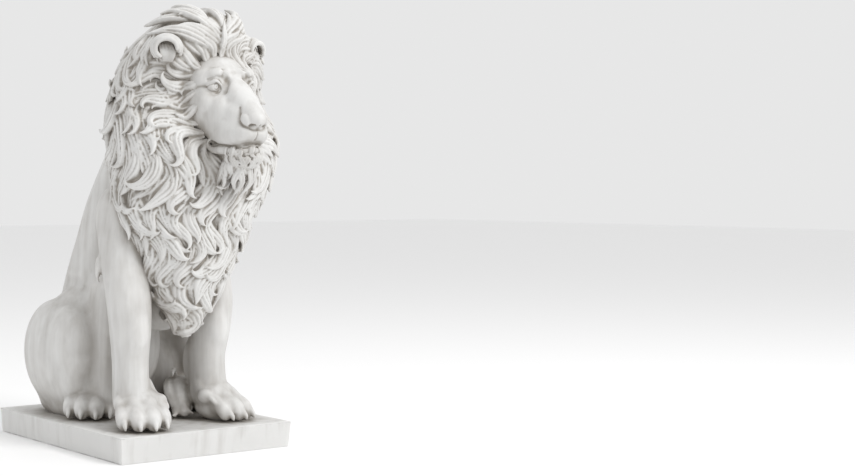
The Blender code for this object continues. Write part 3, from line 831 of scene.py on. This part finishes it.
def stone_finish():
    """Near-white cast stone, with painted shade in its hollows and creases that is partly grey-brown
    soil, painted broad shade in its film, and painted highlights on its sharp ridges.
    """
    finish = Finish("cast_stone")
    place = finish.node("ShaderNodeTexCoord", {}).outputs["Object"]
    hollow_shade_and_soil = finish.stored("hollow_shade_and_soil")
    edge_highlight = finish.stored("edge_highlight")
    shelter = finish.stored("shelter")
    blotch = finish.noise(place, 9.0, 4.0, 0.6)
    fine = finish.noise(place, 130.0, 3.0, 0.6)
    grain = finish.noise(place, 900.0, 2.0, 0.5)
    drawn = finish.node("ShaderNodeMapping", {}, Vector=place, Scale=(60.0, 60.0, 7.0))
    streak = finish.noise(drawn.outputs["Vector"], 1.0, 3.0, 0.55)
    # Painted shade in hollows and creases, partly grey-brown soil: the share of the darker colour
    shade_and_soil_share = (hollow_shade_and_soil * 1.9 + (blotch - 0.5) * 0.3 + (streak - 0.5) * 0.25 - 0.04).clamped()
    clean = finish.mix(blotch, STONE_DULL, STONE_BRIGHT)
    shade_and_soil_colour = finish.mix(fine, SHADE_AND_SOIL_DARK, SHADE_AND_SOIL_PALE)
    # Painted broad shade where much stands further off, mixed with the film's own streaks and blotches
    film_and_shade_share = (shelter * 0.8 + (streak - 0.5) * 0.9 + (blotch - 0.5) * 1.0).clamped()
    film = finish.mix(film_and_shade_share, clean, FILM_AND_SHADE)
    tint = finish.mix(shade_and_soil_share, film, shade_and_soil_colour)
    # Painted highlight: sharp ridges lightened towards near-white
    worn = finish.mix((edge_highlight * 0.6).clamped(), tint, HIGHLIGHT_COLOUR)
    finish.feed("Base Color", worn)
    finish.feed("Roughness", 0.62 + shade_and_soil_share * 0.2 + (fine - 0.5) * 0.12)
    height = fine * 0.6 + grain * 0.4
    bump = finish.node("ShaderNodeBump", {}, Strength=0.25, Distance=0.0006, Height=height)
    finish.feed("Normal", bump.outputs["Normal"])
    return finish.material


class Wire:
    """A number in a shader that takes part in sums."""

    def __init__(self, finish, socket):
        self.finish = finish
        self.socket = socket

    def sum(self, operation, *others, flip=False):
        terms = [self] + list(others)
        if flip:
            terms.reverse()
        node = self.finish.tree.nodes.new("ShaderNodeMath")
        node.operation = operation
        for i, term in enumerate(terms):
            if isinstance(term, Wire):
                self.finish.tree.links.new(term.socket, node.inputs[i])
            else:
                node.inputs[i].default_value = term
        return Wire(self.finish, node.outputs[0])

    def __add__(self, other):
        return self.sum("ADD", other)

    __radd__ = __add__

    def __sub__(self, other):
        return self.sum("SUBTRACT", other)

    def __rsub__(self, other):
        return self.sum("SUBTRACT", other, flip=True)

    def __mul__(self, other):
        return self.sum("MULTIPLY", other)

    __rmul__ = __mul__

    def clamped(self):
        return self.sum("MAXIMUM", 0.0).sum("MINIMUM", 1.0)


class Finish:
    """A material whose nodes are made by name."""

    def __init__(self, name):
        self.material = bpy.data.materials.new(name)
        self.material.use_nodes = True
        self.tree = self.material.node_tree
        self.shader = self.tree.nodes["Principled BSDF"]

    def plug(self, value, socket):
        """Links a wire or a socket, or sets a plain value."""
        if isinstance(value, Wire):
            value = value.socket
        if isinstance(value, bpy.types.NodeSocket):
            self.tree.links.new(value, socket)
        else:
            socket.default_value = value

    def node(self, kind, settings, **inputs):
        made = self.tree.nodes.new(kind)
        for name, setting in settings.items():
            setattr(made, name, setting)
        for name, value in inputs.items():
            self.plug(value, made.inputs[name])
        return made

    def stored(self, name):
        """A number that shade() stored on the mesh."""
        return Wire(self, self.node("ShaderNodeAttribute", {"attribute_name": name}).outputs["Fac"])

    def noise(self, place, scale, detail, rough):
        sizes = {"Scale": scale, "Detail": detail, "Roughness": rough}
        made = self.node("ShaderNodeTexNoise", {}, Vector=place, **sizes)
        return Wire(self, made.outputs["Fac"])

    def mix(self, share, first, second):
        made = self.node("ShaderNodeMix", {"data_type": "RGBA"})
        self.plug(share, made.inputs[0])
        self.plug(first, made.inputs[6])
        self.plug(second, made.inputs[7])
        return made.outputs[2]

    def feed(self, name, value):
        self.plug(value, self.shader.inputs[name])


def arrays(mesh):
    """A mesh's places, its normals and its edges' ends."""
    count = len(mesh.vertices)
    places = numpy.empty(count * 3)
    ways = numpy.empty(count * 3)
    mesh.vertices.foreach_get("co", places)
    mesh.vertices.foreach_get("normal", ways)
    pairs = numpy.empty(len(mesh.edges) * 2, dtype=int)
    mesh.edges.foreach_get("vertices", pairs)
    return places.reshape(-1, 3), ways.reshape(-1, 3), pairs.reshape(-1, 2)


def averaged(values, pairs, rounds):
    """Each value evened out with its neighbours' along the mesh's edges."""
    count = len(values)
    columns = values.reshape(count, -1)
    shares = numpy.bincount(pairs.ravel(), minlength=count).clip(1)
    for _ in range(rounds):
        total = numpy.zeros_like(columns)
        for k in range(columns.shape[1]):
            total[:, k] += numpy.bincount(pairs[:, 0], columns[pairs[:, 1], k], count)
            total[:, k] += numpy.bincount(pairs[:, 1], columns[pairs[:, 0], k], count)
        columns = (columns + total / shares[:, None]) / 2
    return columns.reshape(values.shape)


def closeness(places, ways, surface, rays):
    """How much stands close above each place, and how much stands further off."""
    facing = ways @ numpy.array(rays).T
    starts = places + ways * (RAY_START * UNIT)
    closed = numpy.zeros(len(places))
    shelter = numpy.zeros(len(places))
    for v in range(len(places)):
        start = Vector(starts[v])
        hit = 0.0
        far = 0.0
        total = 0.0
        for k in numpy.nonzero(facing[v] > FLATTEST_RAY)[0]:
            share = facing[v, k]
            total += share
            _, _, _, gap = surface.ray_cast(start, rays[k], SHELTER_REACH)
            if gap is not None:
                hit += share * max(1 - gap / HOLLOW_REACH, 0)
                far += share * (1 - gap / SHELTER_REACH)
        closed[v] = hit / max(total, 0.01)
        shelter[v] = far / max(total, 0.01)
    return closed, shelter


def shade(pieces):
    """Stores how deep in hollows, how sheltered and how sharp each place is, for the painted shade and
    soil in hollows, the film with its painted broad shade, and the painted highlight on ridges.
    """
    surface = surface_of(*[piece.data for piece in pieces])
    rays = list(directions(RAYS))
    for piece in pieces:
        places, ways, pairs = arrays(piece.data)
        bend = ((averaged(places, pairs, 3) - places) * ways).sum(1) / UNIT
        broad = ((averaged(places, pairs, 24) - places) * ways).sum(1) / UNIT
        closed = numpy.zeros(len(places))
        shelter = closed
        closed, shelter = closeness(places, ways, surface, rays)
        closed = averaged(closed, pairs, 2)
        shelter = averaged(shelter, pairs, 8)
        grooved, occlusion_weight, film = SHADE_AND_SOILING.get(piece.name, SHADE_AND_SOILING["mane"])
        # Painted shade, partly soil: crease bends and ray-found hollows darken the colour
        bent = (bend * 0.9).clip(-0.15, 0.55) + (broad * 0.28).clip(-0.1, 0.4)
        hollow_shade_and_soil = (closed * 1.25 - 0.12).clip(0, 1) * occlusion_weight + bent * grooved
        # Painted broad shade from the far rays, plus an even film on each surface
        shelter = (shelter * 1.5 - 0.08).clip(0, 1) * occlusion_weight + film
        # Painted highlight on the sharpest outward bends
        edge_highlight = (-bend * 1.6 - 0.1).clip(0, 1)
        edge_highlight = averaged(edge_highlight, pairs, 1)
        for name, values in (("hollow_shade_and_soil", hollow_shade_and_soil.clip(0, 1)), ("shelter", shelter), ("edge_highlight", edge_highlight)):
            stored = piece.data.attributes.new(name, "FLOAT", "POINT")
            stored.data.foreach_set("value", values.astype(numpy.float32))


def smooth_shaded(found):
    for face in found.data.polygons:
        face.use_smooth = True


def settle(found):
    """Brings a piece to its real size and place, within its share of the triangles."""
    count = sum(len(p.vertices) - 2 for p in found.data.polygons)
    if count > MOST_TRIANGLES[found.name]:
        thin = found.modifiers.new("fewer facets", "DECIMATE")
        thin.ratio = MOST_TRIANGLES[found.name] / count
        baked(found)
    found.data.transform(Matrix.Translation((0, 0, SLAB_THICKNESS)) @ Matrix.Scale(UNIT, 4))
    smooth_shaded(found)


def base_slab():
    """The slab: a shallow block with a little draft, and with rounded, slightly worn edges."""
    bm = bmesh.new()
    made = bmesh.ops.create_cube(bm, size=1)
    for v in made["verts"]:
        grow = SLAB_DRAFT if v.co.z > 0 else 0
        v.co.x *= SLAB_WIDTH + 2 * grow
        v.co.y *= SLAB_DEPTH + 2 * grow
        v.co.z = (v.co.z + 0.5) * SLAB_THICKNESS
    bmesh.ops.subdivide_edges(bm, edges=bm.edges[:], cuts=SLAB_CUTS, use_grid_fill=True)
    rims = [e for e in bm.edges if len(e.link_faces) == 2 and e.calc_face_angle() > 1.2]
    bmesh.ops.bevel(
        bm, geom=rims, offset=SLAB_ROUND, segments=3, profile=0.5, affect="EDGES", material=-1,
        clamp_overlap=True,
    )
    for v in bm.verts:
        worn = noise.noise(v.co * 40) * SLAB_WEAR + noise.noise(v.co * 12) * SLAB_WEAR
        if v.co.z > SLAB_FOOT:
            v.co += v.co.normalized() * worn
    slab = new_object("base_slab", bm)
    smooth_shaded(slab)
    return slab


def lion_body():
    """The trunk and legs as one smooth skin, then the paws, tail and tufts fused on to it."""
    bm = bmesh.new()
    add_trunk(bm)
    add_foreleg(bm, -1, (-90, -108), 0)
    add_foreleg(bm, 1, (73, -88), 10)
    add_hind_leg(bm, -1)
    add_hind_leg(bm, 1)
    masses = fused(new_object("masses", bm), MASS_VOXEL, 10)
    bm = bmesh.new()
    for frame, ankle, inner in PAWS:
        add_paw(bm, frame, ankle, inner)
    add_tail(bm)
    add_locks(bm, tuft_locks(), STRAND, 40)
    bm.from_mesh(masses.data)
    bpy.data.objects.remove(masses)
    return fused(new_object("lion_body", bm), BODY_VOXEL, 7)


def lion_head():
    """The carved head and its ears, as one piece."""
    bm = bmesh.new()
    add_head(bm)
    head = carved_head(fused(new_object("masses", bm), SKULL_VOXEL, 16))
    bm = bmesh.new()
    for place, turn, lean in EARS:
        add_ear(bm, place, turn, lean)
    ears = fused(new_object("ears", bm), EAR_VOXEL, 2)
    bm = bmesh.new()
    bm.from_mesh(head.data)
    bm.from_mesh(ears.data)
    bpy.data.objects.remove(ears)
    bm.to_mesh(head.data)
    bm.free()
    return head


def mane_part(name, mass, locks, low, high):
    """The mane between two heights: its share of the mass under its own locks, as one skin."""
    bm = bmesh.new()
    bm.from_mesh(mass.data)
    for height, way in ((low, -1), (high, 1)):
        cut = bmesh.ops.bisect_plane(
            bm, geom=bm.verts[:] + bm.edges[:] + bm.faces[:], plane_co=(0, 0, height),
            plane_no=(0, 0, way), clear_outer=True,
        )
        rim = [g for g in cut["geom_cut"] if isinstance(g, bmesh.types.BMEdge)]
        if rim:
            bmesh.ops.contextual_create(bm, geom=rim)
    own = [(stations, width) for stations, width in locks if low <= stations[0][0].z < high]
    add_locks(bm, own, STRAND, 60)
    return fused(new_object(name, bm), MANE_VOXEL, 1)


def chin_tuft():
    """The hair that hangs from round the chin's foot on to the mane, as stations and width."""
    rng = random.Random(5)
    face = head_frame()
    locks = []
    for i in range(TUFT_LOCKS):
        angle = math.radians(-108 + 18 * i + rng.uniform(-6, 6))
        out = Vector((math.sin(angle), -math.cos(angle), 0))
        across = Vector((math.cos(angle), math.sin(angle), 0))
        sway = rng.choice((-1, 1)) * rng.uniform(5, 12)
        drop = rng.uniform(0.5, 1.1)
        curve = []
        for reach, back, low, bend in TUFT_CURVE:
            below = Vector((0, back, -104 - low * drop))
            curve.append(face @ (out * reach + across * sway * bend + below))
        locks.append((along(curve, 0.2, out), rng.uniform(11, 18)))
    return locks


def beard():
    """The chin's curls and the locks that hang below them."""
    bm = bmesh.new()
    add_locks(bm, chin_curls(), BEARD_STRAND, 36)
    add_locks(bm, chin_tuft(), STRAND * 0.8, 36)
    return fused(new_object("beard", bm), BEARD_VOXEL, 1)


def add_camera():
    """The photograph's viewpoint; the shift puts the statue at the left of the frame."""
    camera = bpy.data.objects.new("photo camera", bpy.data.cameras.new("photo camera"))
    bpy.context.scene.collection.objects.link(camera)
    camera.location = CAMERA_PLACE
    turn = math.radians(CAMERA_AZIMUTH)
    tilt = math.radians(CAMERA_TILT)
    ahead = Vector((math.sin(turn) * math.cos(tilt), math.cos(turn) * math.cos(tilt), -math.sin(tilt)))
    camera.rotation_euler = ahead.to_track_quat("-Z", "Y").to_euler()
    camera.data.sensor_width = 36
    camera.data.lens = CAMERA_LENS
    camera.data.shift_x = CAMERA_SHIFT
    bpy.context.scene.camera = camera


def add_light(name, place, target, size, power):
    lamp = bpy.data.objects.new(name, bpy.data.lights.new(name, "AREA"))
    bpy.context.scene.collection.objects.link(lamp)
    lamp.location = place
    lamp.rotation_euler = (Vector(target) - Vector(place)).to_track_quat("-Z", "Y").to_euler()
    lamp.data.shape = "DISK"
    lamp.data.size = size
    lamp.data.energy = power


def add_studio():
    """A plain pale floor in a bright room, with two soft lamps."""
    bm = bmesh.new()
    bmesh.ops.create_grid(bm, x_segments=2, y_segments=2, size=12)
    floor = new_object("floor", bm)
    paint = Finish("pale_floor")
    paint.shader.inputs["Base Color"].default_value = (0.95, 0.95, 0.95, 1)
    paint.shader.inputs["Roughness"].default_value = 0.9
    floor.data.materials.append(paint.material)
    world = bpy.data.worlds.new("bright room")
    bpy.context.scene.world = world
    world.use_nodes = True
    background = world.node_tree.nodes["Background"]
    background.inputs["Color"].default_value = (1, 1, 1, 1)
    background.inputs["Strength"].default_value = 0.8
    bpy.context.scene.view_settings.view_transform = "Standard"
    add_light("key", (0.9, -2.4, 2.5), (0.02, -0.1, 0.4), 1.2, 46)
    add_light("top", (0.2, -0.2, 3.0), (0.0, -0.1, 0.3), 2.0, 10)


def main():
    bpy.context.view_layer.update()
    mass = mane_mass()
    locks = mane_locks(mass)
    sunk(mass, MANE_SUNK)
    pieces = [lion_body(), lion_head()]
    for name, low, high in MANE_PARTS:
        pieces.append(mane_part(name, mass, locks, low, high))
    pieces.append(beard())
    mass.name = "mane_root"
    pieces.append(fused(mass, ROOT_VOXEL, 2))
    for piece in pieces:
        settle(piece)
    pieces.append(base_slab())
    shade(pieces)
    finish = stone_finish()
    for piece in pieces:
        piece.data.materials.append(finish)
        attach(piece, "root")
        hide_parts("lion_statue")
    add_camera()
    add_studio()


main()
